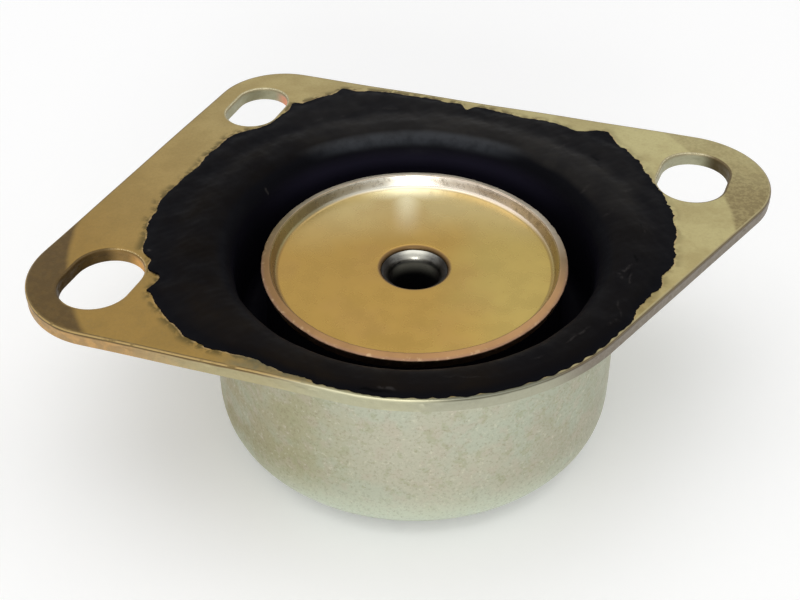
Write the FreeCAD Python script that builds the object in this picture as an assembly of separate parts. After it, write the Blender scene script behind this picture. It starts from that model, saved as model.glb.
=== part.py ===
import FreeCAD
import Part
import math
import os

# Transmission mount: a drawn steel cup with a three-slot flange, a rubber spring bonded inside it,
# a pressed dish on top and a steel sleeve for the through bolt. Millimetres, +Z up.
# The origin is on the bolt axis, in the plane that the cup stands on.
# +Y runs along the line through the two left slots of the flange.

# Cup and flange, drawn from one sheet
sheet = 2.3              # thickness of the sheet
cup_radius = 33.3        # outside of the cup wall
flange_top = 33.8        # height of the flange's upper face
mouth_bend = 2.5         # inner bend radius, under the flange
foot_bend = 5.0          # inner bend radius at the cup's bottom
foot_opening = 19.0      # radius of the opening in the cup's bottom
front_trim = 3.9         # front arc of the flange, past the cup wall
front_shift_x = 1.0      # middle of the front arc, off the bolt axis
front_shift_y = 0.4
edge_round = 0.3         # rolled edge that the punch leaves on the upper face

# Slots, all parallel to Y, the far left one smaller than the other two
slot_radius = 5.8        # half the width
slot_travel = 3.7        # distance between the two end centres
far_slot_radius = 4.7
far_slot_travel = 4.3
slot_pitch = 55.6        # left slots, centre to centre along Y
left_slot_shift = 0.9    # middle of the two left slots, along Y
near_slot_reach = 8.7    # cup wall's left side to the near left slot, along X
far_slot_reach = 9.6     # the same for the far left slot
right_slot_reach = 4.2   # cup wall's right side to the right slot, along X
right_slot_rise = 35.7   # right slot, along Y

# Lugs: corner arcs of the flange, each set off from its slot
near_lug = (2.6, 2.1, 15.0)       # x and y from the slot, arc radius
far_lug = (3.8, 2.0, 12.2)
right_lug = (-1.2, -1.5, 14.6)

# Dish, pressed from thinner sheet
dish_sheet = 1.6
dish_radius = 25.0       # outer edge of the lip
dish_depth = 1.7         # top of the lip to the dish's floor
dish_drop = 3.2          # top of the lip below the flange's upper face
lip_slope = 65.0         # degrees between the lip and the floor
dish_bend = 0.8          # inner bend radius at the lip's foot
dish_hole = 5.5          # radius of the hole in the dish

# Sleeve for the through bolt
sleeve_radius = 8.0
bore_radius = 4.2
countersink = 1.2        # widening of the bore at its mouth
countersink_depth = 1.6
sleeve_foot = 0.4        # chamfer at the lower end

# Rubber spring
rubber_wall = 1.4        # layer on the inside of the cup wall
lip_rise = 1.1           # rolled lip above the flange
lip_roll = 4.2           # radius of the lip's inner roll
lip_spread = 7.0         # lip fades into the skin this far out from the cup wall
trough_depth = 15.8      # trough below the flange's upper face
trough_width = 5.2       # across the trough at the dish
trough_round = 2.2
bond_height = 1.2        # bare strip of the dish's edge above the rubber
recess_height = 9.5      # hollow under the spring, from the foot
recess_width = 6.0       # flat roof of the hollow
recess_round = 2.5
bottom_bond = 1.5        # rubber on the cup's bottom, set back from the opening

# Flash skin that spreads from the lip over the flange
skin = 0.4
skin_spread = 11.0       # mean reach from the cup wall
skin_margin = 0.4        # bare strip along the flange's edge and round the slots, clear of the rolled edge
skin_waves = ((1, 1.9, 116), (2, 1.2, -113), (3, 0.5, 139), (4, 0.7, -171), (5, 1.3, -89), (7, 0.5, 137))
skin_points = 60

cup_inside = cup_radius - sheet
dish_top = flange_top - dish_drop
dish_floor = dish_top - dish_depth
dish_under = dish_floor - dish_sheet
near_slot = (-(cup_radius + near_slot_reach), left_slot_shift - slot_pitch / 2)
far_slot = (-(cup_radius + far_slot_reach), left_slot_shift + slot_pitch / 2)
right_slot = (cup_radius + right_slot_reach, right_slot_rise)
slots = (near_slot, far_slot, right_slot)
slot_sizes = ((slot_radius, slot_travel), (far_slot_radius, far_slot_travel), (slot_radius, slot_travel))
up = FreeCAD.Vector(0, 0, 1)
middle = FreeCAD.Vector(0, 0, 0)


def corner_arc(before, corner, after, radius):
    # Arc of the given radius that touches both straight runs at a corner
    to_before = (before - corner).normalize()
    to_after = (after - corner).normalize()
    half = to_before.getAngle(to_after) / 2
    start = corner + to_before * (radius / math.tan(half))
    end = corner + to_after * (radius / math.tan(half))
    centre = corner + (to_before + to_after).normalize() * (radius / math.sin(half))
    top = centre + (corner - centre).normalize() * radius
    return start, top, end


def section(points):
    # Flat half-section from (radius, height, corner radius) points
    corners = [FreeCAD.Vector(r, 0, z) for r, z, _ in points]
    edges = []
    ends = []
    for i, (_, _, radius) in enumerate(points):
        if radius:
            start, top, end = corner_arc(corners[i - 1], corners[i], corners[(i + 1) % len(corners)], radius)
            ends.append((start, end))
            edges.append(Part.Arc(start, top, end).toShape())
        else:
            ends.append((corners[i], corners[i]))
    for i, (_, end) in enumerate(ends):
        start = ends[(i + 1) % len(ends)][0]
        if (start - end).Length > 1e-6:
            edges.append(Part.LineSegment(end, start).toShape())
    return Part.Face(Part.Wire(Part.__sortEdges__(edges)))


def turned(points):
    # Solid of revolution about the bolt axis
    return section(points).revolve(middle, up, 360)


def flange_outline(inset):
    # Four corner arcs joined by their common tangents, walked anticlockwise
    lugs = []
    for (x, y), (dx, dy, radius) in zip(slots, (near_lug, far_lug, right_lug)):
        lugs.append((FreeCAD.Vector(x + dx, y + dy, 0), radius - inset))
    near, far, right = lugs
    front = (FreeCAD.Vector(front_shift_x, front_shift_y, 0), cup_radius + front_trim - inset)
    arcs = (near, front, right, far)
    touch = []
    for i, (centre, radius) in enumerate(arcs):
        next_centre, next_radius = arcs[(i + 1) % len(arcs)]
        run = next_centre - centre
        turn = math.atan2(run.y, run.x) - math.acos((radius - next_radius) / run.Length)
        touch.append(turn)
    edges = []
    for i, (centre, radius) in enumerate(arcs):
        leaves = touch[i]
        meets = touch[i - 1]
        while meets > leaves:
            meets -= 2 * math.pi
        while meets < leaves - 2 * math.pi:
            meets += 2 * math.pi
        start, top, end = [centre + FreeCAD.Vector(math.cos(a), math.sin(a), 0) * radius
                           for a in (meets, (meets + leaves) / 2, leaves)]
        edges.append(Part.Arc(start, top, end).toShape())
        next_centre, next_radius = arcs[(i + 1) % len(arcs)]
        reach = next_centre + FreeCAD.Vector(math.cos(leaves), math.sin(leaves), 0) * next_radius
        edges.append(Part.LineSegment(end, reach).toShape())
    return Part.Face(Part.Wire(Part.__sortEdges__(edges)))


def slot_face(x, y, radius, travel):
    # Stadium outline, its long side along Y
    half = travel / 2
    right_low = FreeCAD.Vector(x + radius, y - half, 0)
    right_high = FreeCAD.Vector(x + radius, y + half, 0)
    left_high = FreeCAD.Vector(x - radius, y + half, 0)
    left_low = FreeCAD.Vector(x - radius, y - half, 0)
    top = FreeCAD.Vector(x, y + half + radius, 0)
    bottom = FreeCAD.Vector(x, y - half - radius, 0)
    edges = [Part.LineSegment(right_low, right_high).toShape(),
             Part.Arc(right_high, top, left_high).toShape(),
             Part.LineSegment(left_high, left_low).toShape(),
             Part.Arc(left_low, bottom, right_low).toShape()]
    return Part.Face(Part.Wire(edges))


def column(face, low, high):
    # Upright prism over a flat outline
    prism = face.extrude(up * (high - low))
    prism.translate(up * low)
    return prism


def slot_columns(margin):
    # Tool that cuts all the slots, wider by a margin all round and taller than the whole mount
    tools = [column(slot_face(x, y, radius + margin, travel), -sheet, flange_top + 2 * sheet)
             for (x, y), (radius, travel) in zip(slots, slot_sizes)]
    return tools[0].multiFuse(tools[1:])


def flanged_cup():
    # Cup, mouth bend and flange in one wall of sheet, trimmed to the outline and punched
    blank = 2 * (cup_radius + slot_pitch)
    drawn = turned([
        (blank, flange_top, 0),
        (cup_inside, flange_top, mouth_bend + sheet),
        (cup_inside, sheet, foot_bend),
        (foot_opening, sheet, 0),
        (foot_opening, 0, 0),
        (cup_radius, 0, foot_bend + sheet),
        (cup_radius, flange_top - sheet, mouth_bend),
        (blank, flange_top - sheet, 0)])
    trimmed = drawn.common(column(flange_outline(0), -sheet, flange_top + sheet))
    punched = trimmed.cut(slot_columns(0))
    rim = [edge for edge in punched.Edges
           if abs(edge.BoundBox.ZMin - flange_top) < 1e-4 and abs(edge.BoundBox.ZMax - flange_top) < 1e-4
           and edge.CenterOfMass.Length > 0 and not is_bend_edge(edge)]
    return punched.makeFillet(edge_round, rim)


def is_bend_edge(edge):
    # The circle where the flange's upper face rolls into the cup is no cut edge
    curve = edge.Curve
    bend_start = cup_inside + mouth_bend + sheet
    return isinstance(curve, Part.Circle) and abs(curve.Radius - bend_start) < 1e-4


def top_dish():
    # Flat floor with a flared lip whose sheared edge faces up and out
    slope = math.radians(lip_slope)
    along = (math.cos(slope), math.sin(slope))
    outer = (dish_radius, dish_top - dish_sheet * math.cos(slope))
    crest = (dish_radius - dish_sheet * math.sin(slope), dish_top)
    inner_foot = crest[0] - dish_depth * along[0] / along[1]
    outer_foot = outer[0] - (outer[1] - dish_under) * along[0] / along[1]
    return turned([
        (dish_hole, dish_floor, 0),
        (inner_foot, dish_floor, dish_bend),
        (crest[0], crest[1], edge_round),
        (outer[0], outer[1], edge_round),
        (outer_foot, dish_under, dish_bend + dish_sheet),
        (dish_hole, dish_under, 0)])


def inner_sleeve():
    # Thick tube with a countersunk mouth under the dish and a small chamfer at its foot
    return turned([
        (bore_radius, 0, 0),
        (sleeve_radius - sleeve_foot, 0, 0),
        (sleeve_radius, sleeve_foot, 0),
        (sleeve_radius, dish_under, 0),
        (bore_radius + countersink, dish_under, 0),
        (bore_radius, dish_under - countersink_depth, 0)])


def skin_face():
    # Uneven round patch: a mean circle with a few slow waves
    points = []
    for i in range(skin_points):
        angle = 2 * math.pi * i / skin_points
        reach = cup_radius + skin_spread
        for count, height, phase in skin_waves:
            reach += height * math.cos(count * angle - math.radians(phase))
        points.append(FreeCAD.Vector(reach * math.cos(angle), reach * math.sin(angle), 0))
    curve = Part.BSplineCurve()
    curve.interpolate(Points=points, PeriodicFlag=True)
    return Part.Face(Part.Wire(curve.toShape()))


def rubber_body(cup, dish, sleeve):
    # Turned spring whose hidden faces lie inside the steel, cut back to the steel afterwards
    in_wall = cup_radius - sheet / 2
    in_flange = flange_top - sheet / 2
    in_dish = dish_floor - dish_sheet / 2
    in_sleeve = (sleeve_radius + bore_radius) / 2
    wall_face = cup_inside - rubber_wall
    trough = flange_top - trough_depth
    slope = math.radians(lip_slope)
    lip_low = dish_top - dish_sheet * math.cos(slope)
    bond_z = lip_low - bond_height
    bond_r = dish_radius - bond_height / math.tan(slope)
    lip_top = flange_top + lip_rise
    spread = cup_radius + lip_spread
    recess_mid = (foot_opening + sleeve_radius) / 2
    spring = turned([
        (spread, in_flange, 0),
        (spread, flange_top + skin, 0),
        (cup_radius + mouth_bend, lip_top, lip_roll),
        (wall_face, lip_top, lip_roll),
        (wall_face, trough, trough_round),
        (wall_face - trough_width, trough, trough_round),
        (bond_r, bond_z, 0),
        (bond_r - dish_sheet / 2, in_dish, 0),
        (in_sleeve, in_dish, 0),
        (in_sleeve, sheet, 0),
        (sleeve_radius, sheet, 0),
        (recess_mid - recess_width / 2, recess_height, recess_round),
        (recess_mid + recess_width / 2, recess_height, recess_round),
        (foot_opening + bottom_bond, sheet, 0),
        (foot_opening + bottom_bond, sheet / 2, 0),
        (in_wall, sheet / 2, foot_bend + sheet / 2),
        (in_wall, in_flange, mouth_bend + sheet / 2)])
    whole = spring.fuse(column(skin_face(), in_flange, flange_top + skin).cut(column(
        Part.Face(Part.Wire(Part.Circle(middle, up, cup_radius + mouth_bend).toShape())),
        0, flange_top + sheet)))
    kept = whole.common(column(flange_outline(skin_margin), -sheet, flange_top + 2 * sheet))
    return kept.cut(slot_columns(skin_margin)).cut(cup).cut(dish).cut(sleeve)


def build():
    os.makedirs("parts", exist_ok=True)
    cup = flanged_cup()
    dish = top_dish()
    sleeve = inner_sleeve()
    pieces = {
        "flanged_cup": cup,
        "top_dish": dish,
        "inner_sleeve": sleeve,
        "rubber_body": rubber_body(cup, dish, sleeve)}
    for name, shape in pieces.items():
        print(name, "solids", len(shape.Solids), "volume", round(shape.Volume, 1), "valid", shape.isValid(),
              [round(v, 2) for v in (shape.BoundBox.XMin, shape.BoundBox.YMin, shape.BoundBox.ZMin,
                                     shape.BoundBox.XMax, shape.BoundBox.YMax, shape.BoundBox.ZMax)])
        shape.exportStep("parts/" + name + ".step")


build()
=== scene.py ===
# Transmission mount, dressed for the camera. The shape values are millimetres, the meshes metres.
# +Z is up, the origin is on the bolt axis in the plane that the cup stands on.
import math
import bmesh
import bpy
import numpy as np
from mathutils import Matrix, Vector


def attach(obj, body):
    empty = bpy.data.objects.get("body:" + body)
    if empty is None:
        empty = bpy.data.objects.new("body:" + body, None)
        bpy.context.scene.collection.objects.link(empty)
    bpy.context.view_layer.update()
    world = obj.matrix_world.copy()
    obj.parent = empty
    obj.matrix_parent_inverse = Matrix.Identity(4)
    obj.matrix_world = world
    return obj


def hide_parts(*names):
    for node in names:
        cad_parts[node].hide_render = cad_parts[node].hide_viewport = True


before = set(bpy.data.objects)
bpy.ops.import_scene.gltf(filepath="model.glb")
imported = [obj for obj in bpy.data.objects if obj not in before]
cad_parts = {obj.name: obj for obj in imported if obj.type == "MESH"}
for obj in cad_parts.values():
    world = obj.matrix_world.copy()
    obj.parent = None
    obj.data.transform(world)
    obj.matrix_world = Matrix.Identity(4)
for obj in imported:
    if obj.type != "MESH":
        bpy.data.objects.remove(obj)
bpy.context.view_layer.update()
print("frame loaded:", ", ".join(sorted(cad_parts)))

milli = 0.001
fullTurn = 2 * math.pi
viewTurn = 21.4         # heading in degrees of what lies to the right in the photo's view
meshing = {"mergeGap": 2e-6, "sliver": 1e-6}        # metres


def waves(x, y, z, size, seed, count=14):
    # Soft irregular field, about +-1: plane waves of random heading and phase, of length near size, summed
    rng = np.random.RandomState(seed)
    heading = rng.normal(size=(count, 3))
    heading /= np.linalg.norm(heading, axis=1)[:, None]
    pace = fullTurn / size * rng.uniform(0.6, 1.7, count)
    phase = rng.uniform(0, fullTurn, count)
    total = np.zeros(np.broadcast(x, y, z).shape)
    for (hx, hy, hz), p, f in zip(heading, pace, phase):
        total = total + np.sin(p * (hx * x + hy * y + hz * z) + f)
    return total / math.sqrt(count / 2)


def ease(t):
    # Smooth step from 0 to 1
    t = np.clip(t, 0, 1)
    return t * t * (3 - 2 * t)


def hill(angle, centre, width):
    # Bell over an angle in degrees, wrapped round the turn
    away = (angle - centre + 180) % 360 - 180
    return np.exp(-(away / width) ** 2)


def rounded(corners, step=1.0, arcStep=12):
    # Open profile through (radius, height, bend) corners: straight runs, and arcs that touch them at a bend
    points = np.array([c[:2] for c in corners], float)
    bends = [c[2] for c in corners[1:-1]]
    chunks = [points[:1]]
    for before, corner, after, bend in zip(points[:-2], points[1:-1], points[2:], bends):
        if not bend:
            chunks.append(corner[None])
            continue
        u = (before - corner) / np.linalg.norm(before - corner)
        v = (after - corner) / np.linalg.norm(after - corner)
        half = math.acos(float(u @ v)) / 2
        middle = corner + (u + v) / np.linalg.norm(u + v) * bend / math.sin(half)
        start = corner + u * bend / math.tan(half) - middle
        sweep = math.pi - 2 * half
        side = math.copysign(1, float(u[1] * v[0] - u[0] * v[1]))
        count = max(3, round(math.degrees(sweep) / arcStep) + 1)
        turn = math.atan2(start[1], start[0]) + side * np.linspace(0, sweep, count)
        chunks.append(middle + bend * np.stack([np.cos(turn), np.sin(turn)], 1))
    chunks.append(points[-1:])
    line = [chunks[0]]
    for last, chunk in zip(chunks, chunks[1:]):
        gap = np.linalg.norm(chunk[0] - last[-1])
        cuts = np.linspace(0, 1, max(1, math.ceil(gap / step)) + 1)[1:-1, None]
        line += [last[-1] + (chunk[0] - last[-1]) * cuts, chunk]
    return np.concatenate(line)


def sheetFaces(rows, columns, first=0, wrapRows=False, wrapColumns=False):
    # Quads of a grid whose point (i, j) is number first + i * columns + j
    i = np.arange(rows if wrapRows else rows - 1)[:, None]
    j = np.arange(columns if wrapColumns else columns - 1)[None]
    down, across = (i + 1) % rows, (j + 1) % columns
    quads = np.stack([i * columns + j, down * columns + j, down * columns + across, i * columns + across], -1)
    return quads.reshape(-1, 4) + first


def meshPiece(name, grids, marks=None, sharp=38):
    # One closed mesh from several grids of points in millimetres; points that meet are merged.
    # marks gives every point a number for the material, sharp is the angle in degrees that stays an edge
    points, quads, first = [], [], 0
    for grid, options in grids:
        rows, columns = grid.shape[:2]
        points.append(grid.reshape(-1, 3))
        quads.append(sheetFaces(rows, columns, first, **options))
        first += rows * columns
    points = np.concatenate(points) * milli
    quads = np.concatenate(quads)
    mesh = bpy.data.meshes.new(name)
    mesh.from_pydata(points.tolist(), [], quads.tolist())
    if marks is not None:
        layer = mesh.attributes.new("mark", "FLOAT", "POINT")
        layer.data.foreach_set("value", np.concatenate([np.ravel(m) for m in marks]).astype(np.float32))
    mesh.update(calc_edges=True)
    work = bmesh.new()
    work.from_mesh(mesh)
    bmesh.ops.remove_doubles(work, verts=work.verts, dist=meshing["mergeGap"])
    bmesh.ops.dissolve_degenerate(work, edges=work.edges, dist=meshing["sliver"])
    bmesh.ops.recalc_face_normals(work, faces=work.faces)
    loose = sum(1 for e in work.edges if len(e.link_faces) != 2)
    work.to_mesh(mesh)
    work.free()
    mesh.shade_smooth()
    mesh.set_sharp_from_angle(angle=math.radians(sharp))
    piece = bpy.data.objects.new(name, mesh)
    bpy.context.scene.collection.objects.link(piece)
    print(name, "triangles", sum(len(p.vertices) - 2 for p in mesh.polygons), "open edges", loose)
    return piece


def evenTurn(columns):
    return fullTurn * np.arange(columns) / columns


def spin(radius, height, turn):
    # Points at radii and heights, carried round the bolt axis
    turn = turn[:, None]
    return np.stack(np.broadcast_arrays(radius * np.cos(turn), radius * np.sin(turn), height), -1)


def axesOf(grid):
    return (grid[..., k].copy() for k in range(3))


def seat(piece, node, material):
    # The piece stands for a CAD node, rides on the only body and takes its finish
    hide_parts(node)
    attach(piece, "root")
    piece.data.materials.append(material)


flangeForm = {
    "sheet": 2.3, "top": 33.8, "cupRadius": 33.3,
    "front": (1.0, 0.4, 37.2),          # middle and radius of the arc in front of the cup
    "lugs": ((-39.4, -24.8, 15.0), (-39.1, 30.7, 12.2), (36.3, 34.2, 14.6)),
    # middle, half width and travel of each slot
    "slots": ((-42.0, -26.9, 5.8, 3.7), (-42.9, 28.7, 4.7, 4.3), (37.5, 35.7, 5.8, 3.7)),
    "outlineSteps": 300,                # points on each arc and on each tangent
}


def outlineTable():
    # Closed outline of the flange as angle, x, y and outward normal: four arcs and their common tangents
    near, far, right = flangeForm["lugs"]
    steps = flangeForm["outlineSteps"]
    arcs = (near, flangeForm["front"], right, far)
    leave = []
    for (x, y, r), (nx, ny, nr) in zip(arcs, arcs[1:] + arcs[:1]):
        leave.append(math.atan2(ny - y, nx - x) - math.acos((r - nr) / math.hypot(nx - x, ny - y)))
    parts = []
    for i, (x, y, r) in enumerate(arcs):
        meet = leave[i - 1]
        sweep = (leave[i] - meet) % fullTurn
        turn = meet + np.linspace(0, sweep, steps)
        normal = np.stack([np.cos(turn), np.sin(turn)], 1)
        parts.append(np.concatenate([(x, y) + r * normal, normal], 1))
        nextX, nextY, nextR = arcs[(i + 1) % 4]
        run = np.linspace(0, 1, steps)[1:-1, None]
        start, end = parts[-1][-1], np.append(np.array([nextX, nextY]) + nextR * normal[-1], normal[-1])
        parts.append(start + (end - start) * run)
    line = np.concatenate(parts)
    angle = np.arctan2(line[:, 1], line[:, 0]) % fullTurn
    order = np.argsort(angle)
    return angle[order], line[order]


outlineAngle, outlineLine = outlineTable()


def outlineAt(turn):
    # Point and outward normal of the outline where a ray from the bolt axis crosses it
    turn = np.asarray(turn) % fullTurn
    return np.stack([np.interp(turn, outlineAngle, outlineLine[:, k], period=fullTurn) for k in range(4)], -1)


def slotAt(slot, turn):
    # Point and outward normal of a slot's edge where a ray from the slot's middle crosses it
    w, h = slot[2], slot[3] / 2
    c, s = np.cos(turn), np.sin(turn)
    side = w * np.abs(s) <= h * np.abs(c)
    cap = h * np.abs(s) + np.sqrt(np.maximum(w * w - (h * c) ** 2, 0))
    reach = np.where(side, w / np.maximum(np.abs(c), 1e-9), cap)
    x, y = reach * c, reach * s
    nx = np.where(side, np.sign(c), x / w)
    ny = np.where(side, 0, (y - np.sign(s) * h) / w)
    return np.stack([x + slot[0], y + slot[1], nx, ny], -1)


cupForm = {
    "columns": 600, "ringRadius": 42.3, "bend": 2.5, "footBend": 5.0, "opening": 19.0,
    "roll": 0.5,             # width of the strip where the punch rolled the sheet over
    "rollDrop": 0.34, "rollSteps": 8, "rollMark": 0.4,
    # sheared wall below the roll: distance out, depth below the top, mark
    "shearSteps": ((0, 0.6, 0.5), (0, 0.9, 0.6), (-0.03, 1.02, 0.7), (-0.05, 1.5, 0.8), (-0.05, 2.0, 0.9)),
    "burr": 0.07, "burrOut": (-0.03, -0.14),
    "tear": 0.06, "tearSize": 1.5, "tearFrom": 0.95, "wander": 0.04, "wanderSize": 5,
    "warp": 0.05, "warpSize": 30, "wallWave": 0.04, "wallWaveSize": 18,
    "lugSpans": ((183, 246), (115, 177), (4, 76)),      # degrees about the bolt axis, one per slot
    "plainSpans": ((177, 183), (76, 115)),
    "ringRows": 7, "slotRows": 8,
    "evenShare": 0.25,       # points round a slot follow the strip's outer edge, this part spread evenly
}


def cutEdge(points, side, seed):
    # Sheared wall of the sheet along a path: rolled top, smooth land, torn land and a small burr below.
    # points hold x, y and the outward normal; side is 1 round the flange and -1 round a slot.
    # The mark goes from 0 on the flat faces to 0.4 at the end of the roll and 1 at the burr, times side
    f, sheet, top = cupForm, flangeForm["sheet"], flangeForm["top"]
    roll = np.linspace(0, math.pi / 2, f["rollSteps"])
    burrOut, underOut = f["burrOut"]
    burr = ((burrOut, sheet + f["burr"], 1), (underOut, sheet, 0.5), (-f["roll"], sheet, 0))
    below = np.array(f["shearSteps"] + burr)
    out = np.concatenate([f["roll"] * (np.sin(roll) - 1), below[:, 0]])
    low = np.concatenate([f["rollDrop"] * (1 - np.cos(roll)), below[:, 1]])
    mark = np.concatenate([np.linspace(0, f["rollMark"], f["rollSteps"]), below[:, 2]])
    x, y, nx, ny = (points[:, None, k] for k in range(4))
    onTorn = (low > f["tearFrom"]) & (low < sheet - 0.1)
    onWall = (low > 0.5) & (low < sheet - 0.01)
    torn = f["tear"] * waves(x, y, low[None] * 2, f["tearSize"], seed) * onTorn[None]
    wander = f["wander"] * waves(x, y, 0, f["wanderSize"], seed + 1) * onWall[None]
    shift = side * (out[None] + torn)
    height = np.broadcast_to(top - low[None], shift.shape) + wander
    grid = np.stack([x + nx * shift, y + ny * shift, height], -1)
    return grid, np.broadcast_to(side * mark[None], shift.shape)


def plate(inner, outer, rows, level):
    # Flat strip between two curves of equal count, straight lines across
    t = np.linspace(0, 1, rows)[None, :, None]
    flat = inner[:, None, :2] * (1 - t) + outer[:, None, :2] * t
    return np.concatenate([flat, np.full(flat.shape[:2] + (1,), level)], -1)


def cupGrids():
    # Wall, bottom and ring of the flange as one turned grid, then the outer cut edge, the plain strips of the
    # flange outside the ring, and round each slot a strip above and below and the slot's own cut edge
    form, sheet, top = cupForm, flangeForm["sheet"], flangeForm["top"]
    n, ring, edge = form["columns"], form["ringRadius"], form["roll"]
    turn = evenTurn(n)
    rim = outlineAt(turn)
    rimIn = rim[:, :2] - edge * rim[:, 2:]
    inFront = np.hypot(*rimIn.T)[:, None] <= ring
    border = np.where(inFront, rimIn, ring * np.stack([np.cos(turn), np.sin(turn)], 1))
    cupR, inside = flangeForm["cupRadius"], flangeForm["cupRadius"] - sheet
    bendStart = inside + form["bend"] + sheet
    profile = rounded([
        (bendStart, top, 0), (inside, top, form["bend"] + sheet), (inside, sheet, form["footBend"]),
        (form["opening"] + 0.3, sheet, 0), (form["opening"], sheet - 0.3, 0.25),
        (form["opening"], 0.15, 0), (form["opening"] + 0.15, 0, 0),
        (cupR, 0, form["footBend"] + sheet), (cupR, top - sheet, form["bend"]),
        (bendStart, top - sheet, 0)], step=1.3, arcStep=8)
    wall = spin(*profile.T, turn)
    ringRows = np.linspace(0, 1, form["ringRows"])[None, 1:, None]
    start = wall[:, :1, :2]
    topRing = start + (border[:, None] - start) * ringRows
    topRing = np.concatenate([topRing, np.full(topRing.shape[:2] + (1,), top)], -1)
    lowRing = topRing - (0, 0, sheet)
    turned = np.concatenate([topRing[:, ::-1], wall, lowRing], 1)
    grids = [(turned, dict(wrapRows=True))]
    marks = [np.zeros(turned.shape[:2])]
    wallGrid, wallMark = cutEdge(rim, 1, 3)
    grids.append((wallGrid, dict(wrapRows=True)))
    marks.append(wallMark)

    def addPlates(inner, outer, rows, wrap):
        for level in (top, top - sheet):
            grids.append((plate(inner, outer, rows, level), dict(wrapRows=wrap)))
            marks.append(np.zeros(grids[-1][0].shape[:2]))

    def columnsOf(span):
        low, high = (round(d / 360 * n) for d in span)
        return np.arange(low, high + 1)

    for span in form["plainSpans"]:
        pick = columnsOf(span) % n
        addPlates(border[pick], rimIn[pick], form["ringRows"], False)
    for slot, span in zip(flangeForm["slots"], form["lugSpans"]):
        pick = columnsOf(span)
        beyond = np.hypot(*rimIn[pick % n].T) > ring
        first, last = np.flatnonzero(beyond)[[0, -1]]
        pick = pick[max(first - 1, 0):last + 2] % n
        across = np.linspace(0, 1, form["ringRows"])[:, None]
        late = border[pick[-1]] + (rimIn[pick[-1]] - border[pick[-1]]) * across
        early = rimIn[pick[0]] + (border[pick[0]] - rimIn[pick[0]]) * across
        loop = np.concatenate([border[pick], late[1:-1], rimIn[pick[::-1]], early[1:-1]])
        around = np.unwrap(np.arctan2(loop[:, 1] - slot[1], loop[:, 0] - slot[0]))
        whole = math.copysign(fullTurn, around[-1] - around[0])
        even = around[0] + whole * np.arange(len(loop)) / len(loop)
        lip = slotAt(slot, (1 - form["evenShare"]) * around + form["evenShare"] * even)
        lipIn = lip[:, :2] + edge * lip[:, 2:]
        addPlates(lipIn, loop, form["slotRows"], True)
        slotGrid, slotMark = cutEdge(lip, -1, 11)
        grids.append((slotGrid, dict(wrapRows=True)))
        marks.append(slotMark)
    # the flange rises and falls a little outside the mouth, and the wall swells a little between its bends
    for grid, _ in grids:
        x, y, z = axesOf(grid)
        away = np.hypot(x, y)
        grid[..., 2] += form["warp"] * waves(x, y, 0, form["warpSize"], 5) * ease((away - cupR - 1) / 4)
        onWall = ease((z - 3) / 5) * ease((30 - z) / 4) * (away < cupR + 1)
        swell = form["wallWave"] * waves(x, y, z, form["wallWaveSize"], 8) * onWall
        grid[..., :2] *= (1 + swell / cupR)[..., None]
    return grids, marks


dishForm = {
    "columns": 540, "radius": 25.0, "lipTop": 31.05, "depth": 2.15, "sheet": 1.6, "slope": 71.0,
    "bend": 0.8, "hole": 5.5, "holeRound": 0.7, "shear": 0.28, "sag": 0.05, "fray": 0.01, "waver": 0.02,
    # nicks in the lip: heading and width in degrees, depth
    "nicks": ((38, 1.2, 0.12), (44, 0.8, 0.1), (351, 1.4, 0.1), (196, 1.6, 0.08), (250, 1.0, 0.07)),
    "lean": 0.014, "leanTurn": 111.4,       # rise per millimetre, towards this heading in degrees
}
sleeveForm = {
    "columns": 200, "radius": 8.0, "bore": 4.2, "top": 27.28,
    # trumpet of the swaged mouth, inside the dish's hole
    "flareStart": 26.5, "flareBend": 1.85, "flareTurn": 70, "flareSteps": 10, "flareWall": 0.03,
    "middle": 10,               # height on the bore where the profile starts and closes
    "chamfer": 0.4, "unevenness": 0.02,
}


def lean(x, y):
    # Height that the slightly tilted dish gains at a point
    heading = math.radians(dishForm["leanTurn"])
    return dishForm["lean"] * (x * math.cos(heading) + y * math.sin(heading))


def dishGrid():
    # Pressed dish: flat floor with a rounded hole, a straight flared lip and its sheared edge
    f = dishForm
    slope = math.radians(f["slope"])
    c, s = math.cos(slope), math.sin(slope)
    floor, under = f["lipTop"] - f["depth"], f["lipTop"] - f["depth"] - f["sheet"]
    crest = (f["radius"] - f["sheet"] * s, f["lipTop"])
    outer = (f["radius"], f["lipTop"] - f["sheet"] * c)
    foot = crest[0] - f["depth"] * c / s
    outFoot = outer[0] - (outer[1] - under) * c / s
    profile = rounded([
        (f["hole"], under + 0.3, 0), (f["hole"], floor, f["holeRound"]), (foot, floor, f["bend"]),
        (*crest, f["shear"]), (*outer, f["shear"] * 0.7), (outFoot, under, f["bend"] + f["sheet"]),
        (f["hole"], under, 0.15), (f["hole"], under + 0.3, 0)], step=0.9, arcStep=9)[:-1]
    turn = evenTurn(f["columns"])
    grid = spin(*profile.T, turn)
    x, y, z = axesOf(grid)
    away = np.hypot(x, y)
    rim = ease((away - foot) / 1.2)
    degrees = np.degrees(turn)[:, None]
    nick = sum(hill(degrees, at, wide) * deep for at, wide, deep in f["nicks"])
    fray = f["fray"] * waves(x, y, z, 1.1, 22) + f["waver"] * waves(x, y, 0, 9, 23)
    grid[..., 2] += f["sag"] * waves(x, y, 0, 26, 21) * ease((away - 6) / 6) + lean(x, y)
    grid[..., :2] *= (1 + (fray - nick) * rim / f["radius"])[..., None]
    return grid


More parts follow.
